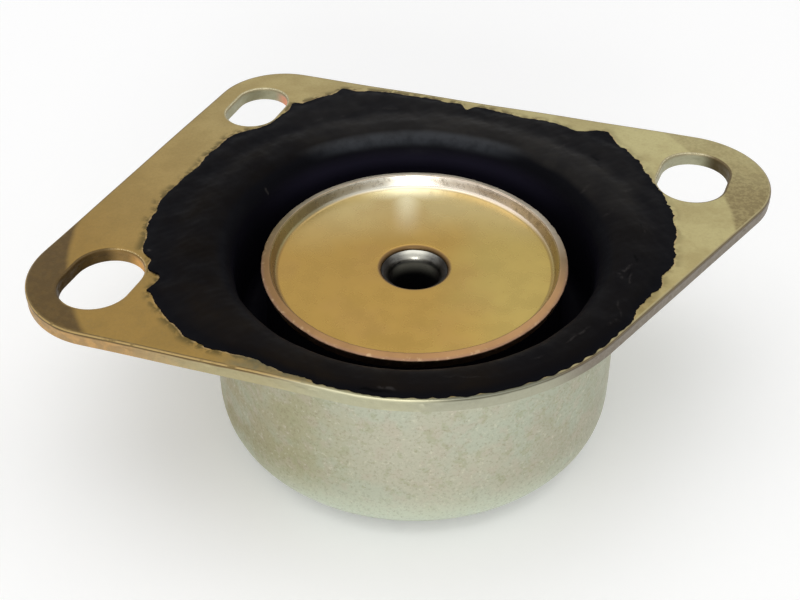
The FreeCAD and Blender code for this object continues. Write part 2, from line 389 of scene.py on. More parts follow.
def sleeveGrid():
    # Tube with a small chamfer below and a trumpet mouth above its shoulder
    f = sleeveForm
    bend = np.radians(np.linspace(0, f["flareTurn"], f["flareSteps"]))
    trumpet = [(f["bore"] + f["flareBend"] * (1 - c), f["flareStart"] + f["flareBend"] * s, 0)
               for c, s in zip(np.cos(bend), np.sin(bend))]
    tipRadius, tipHeight, _ = trumpet[-1]
    shoulder = f["top"] - 0.02
    profile = rounded([
        (f["bore"], f["middle"], 0), *trumpet, (tipRadius + f["flareWall"], tipHeight - 0.12, 0),
        (tipRadius, shoulder, 0), (f["radius"] - 0.02, shoulder, 0), (f["radius"], f["chamfer"], 0),
        (f["radius"] - f["chamfer"], 0.0, 0.1), (f["bore"] + 0.2, 0.0, 0.1), (f["bore"], 0.3, 0),
        (f["bore"], f["middle"], 0)], step=1.5, arcStep=10)[:-1]
    grid = spin(*profile.T, evenTurn(f["columns"]))
    x, y, z = axesOf(grid)
    grid[..., 2] += f["unevenness"] * waves(x, y, 0, 3, 31) * (z > 20)
    return grid


rubberForm = {
    "columns": 850, "skin": 0.4, "thinEdge": 0.1, "thinWidth": 2.4,
    "lipRise": 1.1, "lipSpread": 40.3, "crest": 33.8, "roll": 4.2,
    "wall": 29.6, "trough": 18.0, "troughRound": 2.2, "flank": 24.4, "bondHeight": 28.7,
    # hidden side: neck under the dish, end of the bond on the sleeve, radii, height and bend of the hollow
    "neck": 23.8, "sleeveBond": 2.4, "hollow": (10.5, 16.5, 9.5, 2.5),
    "margin": 0.3, "hidden": 0.04,
    # rows from the flash's edge to the crest: close steps at the edge, then even ones
    "edgeSteps": (0, 0.007, 0.022, 0.05, 0.09, 0.14), "skinRows": 19,
    "reach": 44.3,           # mean radius of the flash
    "slowWaves": ((1, 1.9, 116), (2, 1.2, -113), (3, 0.5, 139), (4, 0.7, -171), (5, 1.3, -89), (7, 0.5, 137)),
    # places where the flash ran further or fell short: heading in degrees, change of reach, width in degrees
    "lobes": ((9, -0.9, 2.6), (20, -0.6, 3.2), (46, -0.8, 8.7), (66.8, 3.5, 3.4), (69.6, -2.3, 4.5),
        (84, -0.7, 6), (98.5, -2.3, 1.2), (104, -0.8, 2.2), (112, -0.9, 6.3), (127, 1.8, 1.6),
        (139, 1.2, 1.2), (148.5, -1.7, 6.7), (156, 1.0, 4.6), (172, -1.1, 4.6), (180, -0.8, 5),
        (190, -0.6, 2.7), (200, -0.5, 2), (208.5, -1.4, 2), (215, -2.2, 3), (218.5, 0.8, 1.2),
        (253, -4.2, 9.6), (268.5, -7.3, 10.7), (351.7, -4.5, 13.5)),
    "wideLobe": 6.2,         # lobes wider than this also shape the smooth reach
    # tearing: share, size and seed of three waves, taken on a circle of this radius
    "tearing": ((0.45, 3.4, 41), (0.35, 1.5, 42), (0.35, 0.9, 44)), "tearRadius": 44,
    "ragged": 0.13, "raggedRight": 0.08, "raggedLimit": 0.08,
    # soft unevenness of the upper face: height, size and seed, then the same for the roll's inner side
    "puff": ((0.045, 8, 46), (0.02, 2.2, 47)), "swell": (0.06, 12, 48),
    # strokes on the dusty face: x, y, heading in degrees, half length, half width, height, tone
    "strokes": ((13.6, 35.1, 67, 2.6, 0.3, 0.05, 0.7), (20.7, 34.1, 135, 1.5, 0.3, -0.12, -0.8),
        (21.8, 32.0, 126, 1.2, 0.3, -0.1, -0.6), (21.5, 24.1, 64, 1.2, 0.5, 0.05, 0.5),
        (32.6, 18.0, 111, 1.9, 0.3, -0.12, -0.7), (28.2, 26.3, 55, 1.2, 0.4, 0.05, 0.6),
        (27.2, 18.6, 64, 1.4, 0.6, 0.04, 0.4), (34.4, 7.7, 113, 1.2, 0.3, -0.16, -1.0),
        (33.8, 4.6, 70, 1.6, 0.3, 0.1, 0.9), (34.9, 2.2, 95, 1.6, 0.3, 0.1, 0.8),
        (34.4, 3.2, 82, 1.2, 0.35, -0.12, -0.6), (33.4, 2.4, 120, 0.9, 0.3, 0.06, 0.6),
        (35.2, -5.4, 115, 1.8, 0.3, 0.08, 0.6), (35.2, -8.8, 54, 1.4, 0.35, 0.08, 0.6),
        (31.2, -13.7, 64, 2.6, 0.3, 0.08, 0.8), (27.4, -20.6, 43, 0.9, 0.3, 0.05, 0.6),
        (18.6, -28.7, 20, 3.0, 0.22, 0.04, 0.5), (-27.8, 29.9, 44, 4.0, 0.28, 0.06, 0.5),
        (-19.6, 36.5, 22, 3.2, 0.3, 0.05, 0.4), (7.9, -35.2, 12, 2.4, 0.3, -0.3, -1.0),
        (9.4, -34.5, 8, 1.3, 0.35, 0.12, 0.8), (-38.6, -18.2, 20, 0.5, 0.4, 0.05, 1.4),
        (-29.5, 5.8, 0, 0.25, 0.25, 0.0, 2.0), (33.9, 15.0, 84, 1.7, 0.3, 0.05, 0.4)),
}


def flashReach(turn, fine=1.0):
    # Outer edge of the flash: mean circle, slow waves, lobes and fine tearing, held inside the outline.
    # fine is 0 for the smooth reach, which keeps only the slow waves and the wide lobes
    f, degrees = rubberForm, np.degrees(turn)
    reach = np.full(turn.shape, f["reach"])
    for count, height, phase in f["slowWaves"]:
        reach += height * np.cos(count * turn - math.radians(phase))
    for at, height, wide in f["lobes"]:
        reach += height * hill(degrees, at, wide) * (1.0 if wide > f["wideLobe"] else fine)
    x, y = f["tearRadius"] * np.cos(turn), f["tearRadius"] * np.sin(turn)
    torn = sum(share * waves(x, y, 0, size, seed) for share, size, seed in f["tearing"])
    reach += (f["ragged"] + f["raggedRight"] * hill(degrees, 40, 42)) * torn * fine
    rim = outlineAt(turn)
    inside = np.hypot(rim[:, 0], rim[:, 1]) - f["margin"]
    return np.minimum(reach, inside + f["raggedLimit"] * fine * waves(x, y, 0, 2.2, 43))


def strokes(x, y):
    # Height and tone of the scuffs: each is a bell, long along its heading and narrow across it
    height, tone = np.zeros(x.shape), np.zeros(x.shape)
    for atX, atY, heading, length, width, rise, shade in rubberForm["strokes"]:
        c, s = math.cos(math.radians(heading)), math.sin(math.radians(heading))
        along = (x - atX) * c + (y - atY) * s
        across = (y - atY) * c - (x - atX) * s + 0.12 * np.sin(2.2 * along + atX)
        bell = np.exp(-(along / length) ** 4 - (across / (0.6 * width)) ** 2)
        height += rise * bell
        tone += shade * bell
    return height, tone


def rubberGrid():
    # Rows from the flash's edge over the lip, down the trough, up to the dish and round the hidden side
    f, top, sheet, h = rubberForm, flangeForm["top"], flangeForm["sheet"], rubberForm["hidden"]
    turn = evenTurn(f["columns"])
    edge, reach = flashReach(turn)[:, None], flashReach(turn, 0.0)[:, None]
    t = np.concatenate([f["edgeSteps"], np.linspace(0.2, 1, f["skinRows"])])[None]
    radius = reach + (f["crest"] - reach) * t + (edge - reach) * (1 - ease(t / 0.5))
    fromEdge = edge - radius
    # heights follow the smooth reach, so that the tearing leaves no ribs
    inward = np.maximum(reach - radius, 0.25 * fromEdge)
    climb = ease((f["lipSpread"] - radius) / (f["lipSpread"] - f["crest"] - 1.2)) * ease((inward + 0.2) / 2.2)
    thin = f["thinEdge"] + (f["skin"] - f["thinEdge"]) * ease(inward / f["thinWidth"])
    lift = (thin + (f["lipRise"] - thin) * climb) * np.clip(0.5 + fromEdge / 0.12, 0, 1)
    skinGrid = spin(radius, top + lift, turn)
    inner = rounded([
        (f["crest"], top + f["lipRise"], 0), (f["wall"], top + f["lipRise"], f["roll"]),
        (f["wall"] - 0.35, f["trough"], f["troughRound"]), (f["flank"], f["trough"], f["troughRound"]),
        (f["flank"], f["bondHeight"], 0)], step=1.5, arcStep=8)[2:]
    # hidden side, a hair clear of the steel: under the dish, down the sleeve, round the hollow and up the cup
    under = dishForm["lipTop"] - dishForm["depth"] - dishForm["sheet"] - h
    sleeve = sleeveForm["radius"] + h
    inside = flangeForm["cupRadius"] - sheet - h
    bendStart = flangeForm["cupRadius"] + cupForm["bend"] + 0.1
    hollowIn, hollowOut, hollowTop, hollowBend = f["hollow"]
    hiddenLine = rounded([
        (f["flank"], f["bondHeight"], 0), (f["neck"] - h, under, 1.2), (sleeve, under, 0),
        (sleeve, f["sleeveBond"], 0), (hollowIn, hollowTop, hollowBend), (hollowOut, hollowTop, hollowBend),
        (cupForm["opening"] + 1.5, sheet + h, 0), (inside, sheet + h, cupForm["footBend"]),
        (inside, top + h, cupForm["bend"] + sheet), (bendStart, top + h, 0)], step=4.5, arcStep=20)[1:]
    turnedGrid = spin(*np.concatenate([inner, hiddenLine]).T, turn)
    floorGrid = spin(bendStart + (edge - bendStart) * np.array([[0.4, 1]]), top + h, turn)
    grid = np.concatenate([skinGrid, turnedGrid, floorGrid], 1)
    # soft unevenness and scuffs of the upper face, and the dish's lean where the rubber climbs to it
    count = skinGrid.shape[1] + len(inner)
    x, y, z = axesOf(grid[:, :count])
    away = np.hypot(x, y)
    onTop = ease((away - 29.2) / 3.5) * (z > top - 1.5)
    height, tone = strokes(x, y)
    puff = sum(rise * waves(x, y, 0, size, seed) for rise, size, seed in f["puff"])
    edgeFade = np.ones(away.shape)
    edgeFade[:, :skinGrid.shape[1]] = ease(fromEdge / 1.5)
    grid[:, :count, 2] += (puff + height) * onTop * edgeFade
    rise, size, seed = f["swell"]
    onRoll = ease((f["crest"] - away) / 3) * ease((z - f["trough"]) / 4) * (away > 27)
    swell = rise * waves(x, y, z, size, seed) * onRoll
    grid[:, :count, :2] *= (1 - swell / away)[..., None]
    x, y, z = axesOf(grid)
    away = np.hypot(x, y)
    grid[..., 2] += lean(x, y) * ease((26.5 - away) / 2) * ease((z - 18) / 8)
    mark = np.zeros(grid.shape[:2])
    mark[:, :count] = tone * (away[:, :count] > 28)
    return grid, mark


class Finish:
    # Small helper round one material's node tree. Values are sockets, numbers or display colours
    def __init__(self, name, form):
        self.form = form
        self.material = bpy.data.materials.new(name)
        self.material.use_nodes = True
        self.tree = self.material.node_tree
        self.shader = self.tree.nodes["Principled BSDF"]
        self.place = self.tree.nodes.new("ShaderNodeTexCoord").outputs["Object"]

    def set(self, socket, value):
        if isinstance(value, bpy.types.NodeSocket):
            self.tree.links.new(value, socket)
        else:
            socket.default_value = colour(value) if isinstance(value, tuple) else value

    def give(self, name, value):
        # Value of one of the shader's own sockets
        self.set(self.shader.inputs[name], value)

    def node(self, kind, **settings):
        made = self.tree.nodes.new(kind)
        for key, value in settings.items():
            setattr(made, key, value)
        return made

    def math(self, operation, a, b=0.0):
        made = self.node("ShaderNodeMath", operation=operation)
        self.set(made.inputs[0], a)
        self.set(made.inputs[1], b)
        return made.outputs[0]

    def times(self, total, *others):
        for other in others:
            total = self.math("MULTIPLY", total, other)
        return total

    def plus(self, total, *others):
        for other in others:
            total = self.math("ADD", total, other)
        return total

    def noise(self, size, detail=3.0, rough=0.55, stretch=(1, 1, 1)):
        # Noise whose features are about size millimetres across
        mapping = self.node("ShaderNodeMapping")
        self.set(mapping.inputs["Vector"], self.place)
        mapping.inputs["Scale"].default_value = [1000 / size * k for k in stretch]
        made = self.node("ShaderNodeTexNoise")
        self.set(made.inputs["Vector"], mapping.outputs[0])
        for name, number in (("Scale", 1.0), ("Detail", detail), ("Roughness", rough)):
            made.inputs[name].default_value = number
        return made.outputs["Fac"]

    def ramp(self, value, low, high, start=0.0, end=1.0, smooth=True):
        # Goes from start to end while the value goes from low to high
        made = self.node("ShaderNodeMapRange", interpolation_type="SMOOTHSTEP" if smooth else "LINEAR")
        self.set(made.inputs["Value"], value)
        for name, number in (("From Min", low), ("From Max", high), ("To Min", start), ("To Max", end)):
            made.inputs[name].default_value = number
        return made.outputs[0]

    def mix(self, factor, a, b):
        # Colour a where the factor is 0 and colour b where it is 1
        made = self.node("ShaderNodeMix", data_type="RGBA")
        self.set(made.inputs["Factor"], factor)
        self.set(made.inputs[6], a)
        self.set(made.inputs[7], b)
        return made.outputs[2]

    def over(self, base, *layers):
        # Tints laid one over the other: each layer is a value, a tint or its name, and what ramp takes
        for value, tint, *span in layers:
            tint = self.form[tint] if isinstance(tint, str) else tint
            base = self.mix(self.ramp(value, *span) if span else value, base, tint)
        return base

    def stops(self, value, stops):
        # Colours at places along a value from 0 to 1
        made = self.node("ShaderNodeValToRGB")
        self.set(made.inputs[0], value)
        bar = made.color_ramp.elements
        while len(bar) < len(stops):
            bar.new(0.5)
        for element, (place, tint) in zip(bar, stops):
            element.position = place
            element.color = colour(tint)
        return made.outputs["Color"]

    def curve(self, value, heights):
        # Smooth function of a value from 0 to 1, given by evenly spaced heights from 0 to 1
        made = self.node("ShaderNodeFloatCurve")
        self.set(made.inputs["Value"], value)
        line = made.mapping.curves[0]
        while len(line.points) < len(heights):
            line.points.new(0.5, 0.5)
        for i, (point, height) in enumerate(zip(line.points, heights)):
            point.location = (i / (len(heights) - 1), height)
        made.mapping.update()
        return made.outputs[0]

    def distance(self, x, y):
        # Distance in millimetres from an upright line at x, y
        atX, atY, _ = self.axes()
        gapX, gapY = self.math("SUBTRACT", atX, x), self.math("SUBTRACT", atY, y)
        return self.math("SQRT", self.plus(self.times(gapX, gapX), self.times(gapY, gapY)))

    def axes(self):
        # Object coordinates in millimetres
        made = self.node("ShaderNodeSeparateXYZ")
        self.set(made.inputs[0], self.place)
        return [self.times(value, 1000.0) for value in made.outputs]

    def along(self, heading):
        # Millimetres from the bolt axis along a heading in degrees
        x, y, _ = self.axes()
        heading = math.radians(heading)
        return self.plus(self.times(x, math.cos(heading)), self.times(y, math.sin(heading)))

    def turns(self):
        # Heading about the bolt axis: 0 at -180 degrees, 1 at 180
        x, y, _ = self.axes()
        return self.plus(self.math("DIVIDE", self.math("ARCTAN2", y, x), fullTurn), 0.5)

    def headings(self, tints):
        # Tints placed by heading in degrees
        return self.stops(self.turns(), [(at / 360 + 0.5, tint) for at, tint in tints])

    def mark(self):
        return self.node("ShaderNodeAttribute", attribute_name="mark").outputs["Fac"]

    def bump(self, *heights):
        # Stack of height fields, whose depths in millimetres stand under bumps
        normal = None
        for height, depth in zip(heights, self.form["bumps"]):
            made = self.node("ShaderNodeBump")
            made.inputs["Distance"].default_value = depth * milli
            made.inputs["Strength"].default_value = 1.0
            self.set(made.inputs["Height"], height)
            if normal:
                self.set(made.inputs["Normal"], normal)
            normal = made.outputs[0]
        self.give("Normal", normal)


def colour(rgb):
    # Display colour, 0 to 255, as the linear value that a shader takes
    c = np.array(rgb[:3], float) / 255
    linear = np.where(c <= 0.04045, c / 12.92, ((c + 0.055) / 1.055) ** 2.4)
    return (*linear.tolist(), 1.0)


cupFinish = {
    # the wall's darker left tint is painted side shade
    "wall": (188, 189, 168), "wallShadedLeft": (151, 139, 97), "wallMiddle": (170, 166, 133),
    "wallRight": (171, 172, 150), "bright": (222, 220, 200),
    # patches on the wall: noise size, detail and roughness, tint, where they start and are full, strength
    "wallPatches": (
        (22, 2, 0.55, (188, 178, 160), 0.42, 0.6, 0.25), (9, 3, 0.55, (182, 192, 174), 0.45, 0.62, 0.45),
        (2.6, 3, 0.6, (188, 178, 160), 0.5, 0.62, 0.4), (1.9, 3, 0.6, (160, 162, 128), 0.54, 0.66, 0.4)),
    # the two tip colours are painted reflection shade on the lug ends
    "gold": (142, 113, 54), "pale": (174, 165, 118), "deckDark": (118, 96, 46), "tip": (79, 60, 26),
    "tipRight": (136, 122, 82), "halo": (80, 66, 24), "film": (100, 96, 72), "worn": (172, 146, 104),
    "speck": (130, 122, 96),
    # painted reflection shade on the lug ends, outside two arcs: middle and radius
    "shadeLeftArc": (-5.0, 0.0, 50.6), "shadeRightArc": (2.1, 9.7, 47.0),
    "haloSpan": (30.0, 30.0),           # least radius and range of the curve that follows the flash's edge
    # sheared band below the roll, by side of the flange
    "bandGold": (196, 158, 104), "bandBrown": (172, 142, 98), "bandOlive": (176, 166, 128),
    "bandFront": (182, 180, 151), "bandBeside": (170, 169, 148), "bandRight": (130, 121, 108),
    # where the lines of a cut edge are broken, and the plain tints of a slot's wall
    "rollBroken": (122, 102, 62), "slotBroken": (136, 124, 92), "nearBroken": (140, 112, 62),
    # the two end tints of the slot walls are painted shade
    "slotBack": (178, 178, 152), "slotEndShade": (88, 72, 44), "nearEnd": (74, 56, 26),
    # light caught on the walls of the two left slots: x, y, strength, tint
    "glows": ((-38.0, -20.5, 0.8, (226, 170, 90)), (-39.2, 33.0, 0.9, (238, 158, 122))),
    # painted floor light and contact shade up the foot, and painted highlight and shade lines across the roll
    # of each cut edge
    "footLightStops": ((0.0, (150, 156, 143)), (0.14, (170, 177, 163)), (0.21, (192, 199, 184)),
        (0.3, (218, 225, 208)), (0.45, (212, 219, 200)), (1.0, (190, 193, 172))),
    # the bright stops across each roll are painted highlight, the dark ones painted shade
    "rollStops": ((0.0, (122, 102, 62)), (0.12, (86, 70, 40)), (0.2, (168, 142, 92)), (0.3, (184, 158, 104)),
        (0.37, (88, 70, 42)), (0.46, (120, 100, 64))),
    "frontStops": ((0.0, (118, 108, 74)), (0.14, (126, 122, 94)), (0.24, (150, 146, 116)),
        (0.32, (224, 220, 186)), (0.42, (214, 210, 176)), (0.5, (180, 178, 150))),
    "besideStops": ((0.0, (112, 106, 74)), (0.12, (86, 84, 66)), (0.26, (116, 116, 100)),
        (0.34, (138, 138, 120)), (0.42, (104, 102, 84)), (0.5, (132, 132, 114))),
    "rightStops": ((0.0, (172, 162, 118)), (0.16, (150, 138, 104)), (0.26, (92, 78, 58)),
        (0.34, (128, 116, 92)), (0.42, (88, 76, 60)), (0.5, (112, 102, 88))),
    "nearStops": ((0.0, (142, 113, 58)), (0.12, (146, 118, 64)), (0.2, (206, 188, 142)),
        (0.27, (126, 98, 54)), (0.4, (134, 106, 60)), (0.5, (142, 114, 68))),
    "slotStops": ((0.0, (152, 134, 90)), (0.1, (150, 132, 90)), (0.2, (214, 206, 172)),
        (0.28, (156, 142, 106)), (0.4, (150, 138, 106)), (0.5, (154, 146, 116))),
    "metallic": 0.75, "roughness": 0.5, "bumps": (0.02, 0.03, 0.012),
}


def cupMaterial():
    f = cupFinish
    m = Finish("zincPlating", f)
    x, y, z = m.axes()
    mottle = m.noise(1.6, 3, 0.6)
    grain = m.noise(0.5, 3, 0.75)
    fine = m.noise(0.22, 2, 0.6)
    # cup wall: grey-green plating; painted shade makes it darker and warmer on the left, painted floor light
    # makes it paler towards the foot, with a painted dark contact line at its very bottom
    wall = m.over(f["wallShadedLeft"], (x, "wallMiddle", -32, -8), (x, "wall", -10, 10), (x, "wallRight", 20, 32))
    for size, detail, rough, tint, start, full, strength in f["wallPatches"]:
        wall = m.over(wall, (m.noise(size, detail, rough), tint, start, full, 0, strength))
    beside = m.math("ABSOLUTE", m.along(viewTurn))
    foot = m.stops(m.ramp(z, 0, 12, 0, 1, False), f["footLightStops"])
    low = m.times(m.ramp(z, 12, 4, 0, 0.92), m.ramp(beside, 30, 13, 0.3, 1))
    low = m.math("MAXIMUM", low, m.ramp(z, 3.2, 1.9, 0, 0.9))
    wall = m.over(wall, (low, foot), (m.noise(0.8, 3, 0.7), "bright", 0.56, 0.72, 0, 0.4))
    # flange: gold on the left, with painted light making it paler to the right and the back, and painted
    # reflection shade beyond two arcs across the lugs
    drift = m.times(m.noise(4, 2), 0.7)
    arcX, arcY, arcRadius = f["shadeLeftArc"]
    reach = m.plus(m.distance(arcX, arcY), drift)
    blotch = m.ramp(m.noise(1.4, 3, 0.6), 0.4, 0.62, 0.97, 0.88)
    leftTipShade = m.times(m.ramp(reach, arcRadius, arcRadius + 1.2), m.ramp(x, 0, -10), m.ramp(y, 2, -8), blotch)
    arcX, arcY, arcRadius = f["shadeRightArc"]
    reach = m.plus(m.distance(arcX, arcY), drift)
    rightTipShade = m.times(m.ramp(reach, arcRadius, arcRadius + 0.9), m.ramp(x, 24, 30))
    rightTipShade = m.times(rightTipShade, m.ramp(y, 44, 33, 0.4, 1))
    # painted reflection shade over the right lug's end, broken up by noise
    rough = m.times(rightTipShade, m.ramp(m.noise(0.7, 3, 0.65), 0.42, 0.6, 0.38, 0))
    deck = m.over(f["gold"], (m.plus(m.times(x, 0.6), y), "pale", -50, 60, 0, 1, False),
                  (m.noise(6, 3, 0.55), "deckDark", 0.36, 0.62, 0.28, 0), (leftTipShade, "tip"),
                  (m.times(rightTipShade, 0.85), "tipRight"), (rough, "tip"))
    # just outside the flash: the blotchy stain of the bonding agent, then a thin worn line over it
    least, span = f["haloSpan"]
    heights = (flashReach(np.linspace(-math.pi, math.pi, 181)) - least) / span
    edgeAt = m.plus(m.times(m.curve(m.turns(), heights.tolist()), span), least)
    beyond = m.math("SUBTRACT", m.distance(0, 0), edgeAt)
    blotch = m.ramp(m.noise(2.0, 3, 0.65), 0.42, 0.56)
    halo = m.times(m.ramp(beyond, 0.3, 1.8, 1, 0), blotch, m.ramp(x, -8, 18, 0.85, 0.34))
    worn = m.times(m.ramp(beyond, 0.35, 0.05), m.ramp(mottle, 0.42, 0.58, 0, 0.6))
    film = m.times(m.ramp(y, -27, -33), m.ramp(x, -17, -11), m.ramp(x, 6, -4))
    film = m.times(film, m.ramp(mottle, 0.35, 0.6, 0.9, 0.5))
    specks = m.times(m.ramp(grain, 0.3, 0.5, 1, 0), m.ramp(z, 32, 33.4, 0.32, 0.12))
    deck = m.over(deck, (halo, "halo"), (worn, "worn"), (film, "film"))
    base = m.over(wall, (z, deck, 32.5, 33.2), (specks, "speck"))
    # cut edges: painted shade line, painted highlight line and painted shade line across the roll, then the
    # sheared band; each side has its own tint
    mark = m.mark()
    height = m.math("ABSOLUTE", mark)
    near = m.ramp(y, 0, -12)
    front = m.times(m.ramp(m.along(viewTurn - 90), 31, 35.5), m.ramp(x, 33, 24), m.ramp(x, -24, -14))
    right = m.times(m.ramp(x, 28, 33), m.ramp(mottle, 0.3, 0.45, 0.6, 1))
    beside = m.times(m.ramp(x, 10, 18), near)
    band = m.over(f["bandGold"], (mottle, "bandBrown", 0.36, 0.6), (x, "bandOlive", -34, -14),
                  (front, "bandFront"), (beside, "bandBeside"), (x, "bandRight", 29, 35))
    sides = ("roll", "front", "beside", "right", "near", "slot")
    rollLightAndShade = {side: m.stops(height, f[side + "Stops"]) for side in sides}
    roll = m.over(f["rollBroken"], (mottle, rollLightAndShade["roll"], 0.3, 0.46), (front, rollLightAndShade["front"]),
                  (m.times(m.ramp(x, 12, 20), near), rollLightAndShade["beside"]), (right, rollLightAndShade["right"]))
    outer = m.over(roll, (height, band, 0.44, 0.54))
    # slots: greyish wall with a broken painted highlight line on top, browner near the viewer, painted shade
    # at the lug's end
    near = m.ramp(y, 0, -10)
    tipEndShade = m.math("MAXIMUM", m.times(m.ramp(x, -43.2, -45.6), near), m.ramp(x, 37.2, 40))
    near = m.times(m.ramp(x, -20, -30), near)
    back = m.times(m.ramp(y, 0, 10), m.ramp(height, 0.3, 0.6, 0.2, 0.7))
    nearWall = m.over(f["nearBroken"], (fine, rollLightAndShade["near"], 0.35, 0.6))
    slotWall = m.over(f["slotBroken"], (fine, rollLightAndShade["slot"], 0.35, 0.6), (near, nearWall), (back, "slotBack"),
                      (m.times(tipEndShade, 0.92), m.over(f["slotEndShade"], (near, "nearEnd"))))
    for glowX, glowY, strength, tint in f["glows"]:
        glow = m.times(m.ramp(m.distance(glowX, glowY), 4.5, 1.5), m.ramp(height, 0.3, 0.7, 0, strength))
        slotWall = m.over(slotWall, (glow, tint))
    cut = m.over(outer, (m.math("LESS_THAN", mark, 0.0), slotWall))
    m.give("Base Color", m.over(base, (height, cut, 0.01, 0.1)))
    m.give("Metallic", f["metallic"])
    m.give("Roughness", m.ramp(grain, 0.3, 0.7, f["roughness"] + 0.08, f["roughness"] - 0.08))
    m.bump(mottle, grain, fine)
    return m.material


dishFinish = {
    # the floor's paler right and greyer back tints are painted reflection
    "floor": (164, 132, 68), "floorPale": (168, 146, 82), "floorBack": (184, 166, 116),
    "floorRose": (160, 126, 74), "glow": (255, 250, 216), "worn": (206, 180, 140), "pink": (134, 106, 90),
    "line": (92, 66, 40), "speck": (104, 88, 62), "hole": (112, 88, 60),
    # painted reflection and highlight tints of the lip's slope and of its cut edge, by heading in degrees
    "slopeLightTints": (
        (-180, (146, 136, 96)), (-140, (134, 106, 54)), (-20, (196, 158, 92)), (20, (166, 148, 92)),
        (40, (176, 156, 124)), (65, (248, 230, 210)), (120, (226, 222, 208)),
        (160, (130, 122, 96)), (180, (146, 136, 96))),
    "cutLightTints": ((-180, (132, 118, 90)), (-155, (128, 100, 66)), (-60, (146, 112, 76)), (0, (164, 128, 90)),
        (20, (132, 112, 84)), (50, (204, 194, 176)), (130, (204, 196, 178)), (180, (132, 118, 90))),
    "roughness": 0.26,
    "cutRoughness": 0.22,       # added on the cut edge and at the hole
    "bumps": (0.02, 0.004, 0.002),
}


def dishMaterial():
    f = dishFinish
    m = Finish("goldPlating", f)
    x, y, _ = m.axes()
    away = m.distance(0, 0)
    behind = m.along(viewTurn + 90)
    wave = m.noise(13, 2)
    patch = m.noise(4, 3, 0.5)
    grain = m.noise(0.35, 2, 0.6)
    # floor: gold with painted reflection, paler to the right and greyer behind, with rose patches and dark
    # specks
    drift = m.times(m.math("SUBTRACT", m.noise(20, 1.5), 0.5), 40.0)
    base = m.over(f["floor"], (m.plus(x, m.times(y, 0.5), drift), "floorPale", -6, 16),
                  (m.plus(behind, m.times(drift, 0.3)), "floorBack", 3, 19, 0, 0.9),
                  (wave, "floorRose", 0.5, 0.64, 0, 0.25), (m.noise(0.8, 2, 0.6), "speck", 0.74, 0.8, 0, 0.2))
    # pale sheen that the lip throws on the floor behind, with a faint streak towards the hole
    across = m.math("ABSOLUTE", m.plus(m.along(viewTurn), 1.4))
    sheen = m.times(m.ramp(across, 11, 0), m.ramp(behind, 18.0, 22.4))
    streak = m.times(m.ramp(across, 3.2, 0), m.ramp(behind, 7, 21, 0, 0.45))
    # lip: painted shade line at its foot, scratched slope with painted reflection tints, painted shade line,
    # then the cut edge with painted light tints, pinker on its outer half in front
    footShadeLine = m.times(m.ramp(away, 22.15, 22.35, 0, 0.4), m.ramp(away, 22.75, 22.5))
    scratch = m.times(m.ramp(m.noise(1.1, 4, 0.7), 0.54, 0.62, 0, 0.35), m.ramp(away, 22.8, 23.1))
    worn = m.times(m.ramp(m.noise(0.9, 3, 0.6), 0.54, 0.68, 0, 0.3), m.ramp(away, 24.1, 24.6))
    onCut = m.ramp(away, 23.55, 23.7)
    cutLitTint = m.headings(f["cutLightTints"])
    outerHalf = m.over(f["pink"], (behind, cutLitTint, -4, 4))
    cut = m.over(cutLitTint, (away, outerHalf, 24.3, 24.9, 0, 0.7))
    # painted brown shade ring where the floor turns down into the hole
    ring = m.ramp(away, 6.25, 5.75)
    slope = m.headings(f["slopeLightTints"])
    base = m.over(base, (m.math("MAXIMUM", sheen, streak), "glow"), (away, slope, 22.3, 22.8), (footShadeLine, "line"),
                  (scratch, "speck"), (away, "line", 23.42, 23.5, 0, 0.7), (onCut, cut), (worn, "worn"))
    m.give("Base Color", m.over(base, (m.times(ring, 0.9), "hole")))
    m.give("Metallic", 1.0)
    smooth = m.ramp(patch, 0.3, 0.7, f["roughness"] - 0.03, f["roughness"] + 0.06)
    m.give("Roughness", m.plus(smooth, m.times(m.math("MAXIMUM", onCut, ring), f["cutRoughness"])))
    m.bump(wave, patch, grain)
    return m.material


sleeveFinish = {
    "steel": (88, 87, 84), "steelPale": (112, 111, 106), "bright": (196, 194, 182), "soot": (38, 35, 32),
    "bore": (132, 130, 118), "boreBeside": (48, 44, 42), "boreDeep": (22, 21, 23),
    # the bright spot is a painted highlight, and the darker side and bore tints are painted shade
    "highlightSpot": (-1.7, 4.6),            # middle of the bright place at the back of the mouth
    "mouthMetallic": 0.9, "boreMetallic": 0.2, "roughness": (0.27, 0.36), "bumps": (0.006,),
}


def sleeveMaterial():
    f = sleeveFinish
    m = Finish("turnedSteel", f)
    grain = m.noise(0.8, 3, 0.6, (1, 1, 5))
    z = m.axes()[2]
    # painted highlight at the back of the mouth and painted shade to its sides; painted shade darkens the
    # bore quickly on its way down
    fromBack = m.distance(*f["highlightSpot"])
    bright = m.times(m.ramp(fromBack, 3.2, 0.8, 0, 0.85), m.ramp(z, 26.5, 27.0))
    bore = m.over(f["bore"], (fromBack, "boreBeside", 2.4, 5.4), (z, "boreDeep", 26.3, 24.0))
    m.give("Base Color", m.over(f["steel"], (grain, "steelPale", 0.35, 0.65), (fromBack, "soot", 2.8, 5.6),
                                (bright, "bright"), (z, bore, 27.0, 26.4)))
    m.give("Metallic", m.ramp(z, 27.0, 26.3, f["mouthMetallic"], f["boreMetallic"]))
    m.give("Roughness", m.ramp(grain, 0.3, 0.7, *f["roughness"]))
    m.bump(grain)
    return m.material


rubberFinish = {
    # the roll's blue-grey tint is a painted sheen, and the trough's back tint is painted light
    "black": (9, 9, 13), "deep": (15, 14, 20), "deepBack": (30, 28, 40), "dust": (14, 12, 12),
    "dustWarm": (12, 8, 5), "dustFront": (24, 19, 14), "dustBack": (41, 39, 37), "bloom": (38, 41, 46),
    "pale": (56, 53, 52), "dark": (3, 3, 4),
    "roughness": 0.5, "specular": 0.022, "rollSheenCoat": 0.25, "coatRoughness": 0.35,
    "bumps": (0.05, 0.02),
}


